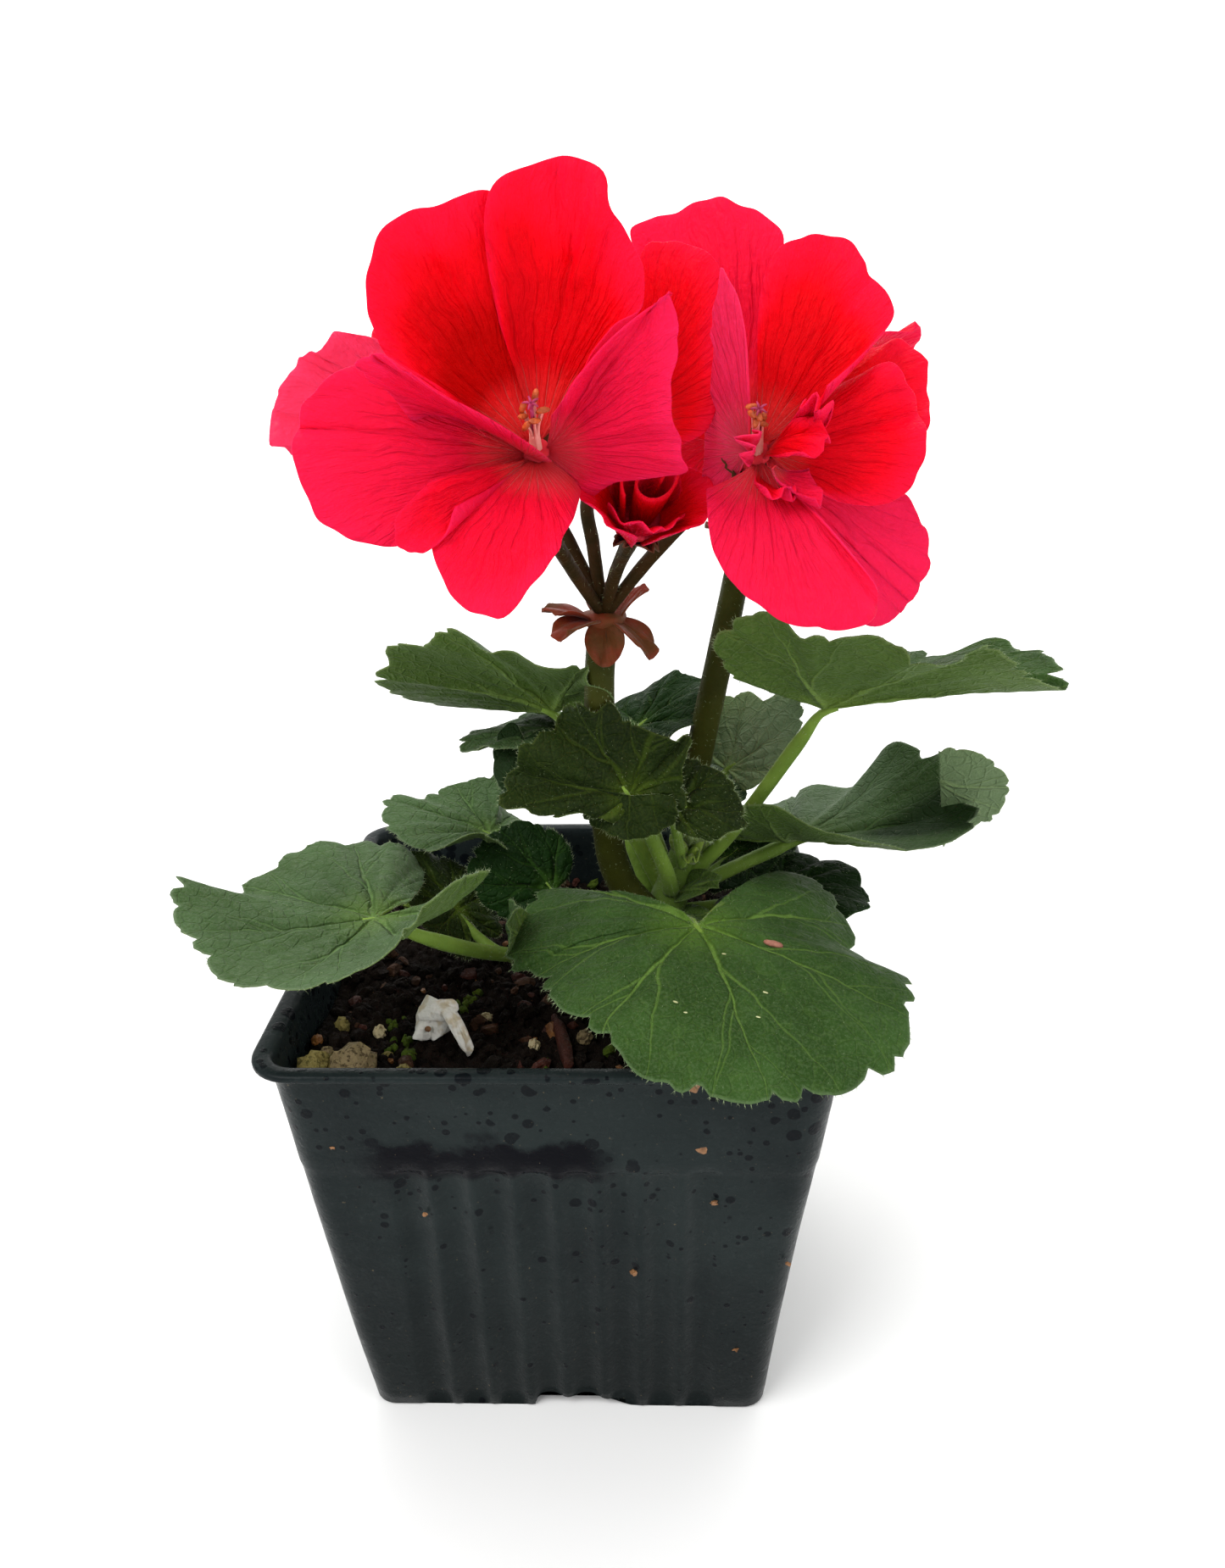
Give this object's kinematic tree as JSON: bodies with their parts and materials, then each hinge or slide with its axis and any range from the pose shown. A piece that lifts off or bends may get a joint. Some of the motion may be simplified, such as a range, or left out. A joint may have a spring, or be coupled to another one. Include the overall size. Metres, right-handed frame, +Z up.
{
  "type": "potted zonal geranium",
  "caption": "Flowering zonal geranium with rounded toothed leaves and two heads of scarlet florets on tall stalks, standing in soil in a thin square nursery pot.",
  "frame": {"origin": "middle of the pot's underside", "axes": "+Z up, -Y towards the front of the plant, +X to the right seen from the front"},
  "size_m": [0.1324, 0.1082, 0.1945],
  "materials": {
    "pot": "charcoal thermoformed plastic, softly shining, with dried splashes",
    "soil": "damp peat with bark crumbs and white grains",
    "flake": "dry, thin, off-white",
    "stem": "green, finely haired",
    "flower_stalk": "olive green turning red-brown, finely haired",
    "bract": "reddish brown, dull",
    "leaf": "grey green, velvety, with paler veins",
    "petal": "scarlet, satin, with fine darker veins",
    "stamen": "orange anthers on pale red filaments"
  },
  "bodies": {
    "root": {"main_stem": "stem", "flower_stalk_front": "flower_stalk", "flower_stalk_back": "flower_stalk", "bracts_front": "bract", "bracts_back": "bract", "floret_front_left": "petal", "floret_front_right": "petal", "bud_half_open": "petal", "floret_middle": "petal", "floret_left": "petal", "floret_right_back": "petal", "floret_back": "petal", "stamens_front_left": "stamen", "stamens_front_right": "stamen", "stamens_left": "stamen", "stamens_right_back": "stamen", "stamens_back": "stamen", "leaf_01": "leaf", "leaf_02": "leaf", "leaf_03": "leaf", "leaf_04": "leaf", "leaf_05": "leaf", "leaf_06": "leaf", "leaf_07": "leaf", "leaf_08": "leaf", "leaf_09": "leaf", "leaf_10": "leaf", "leaf_11": "leaf", "leaf_12": "leaf", "leaf_13": "leaf", "leaf_14": "leaf", "leaf_15": "leaf", "leaf_16": "leaf", "soil": "soil", "white_flake": "flake", "pot": "pot"}
  },
  "joints": []
}
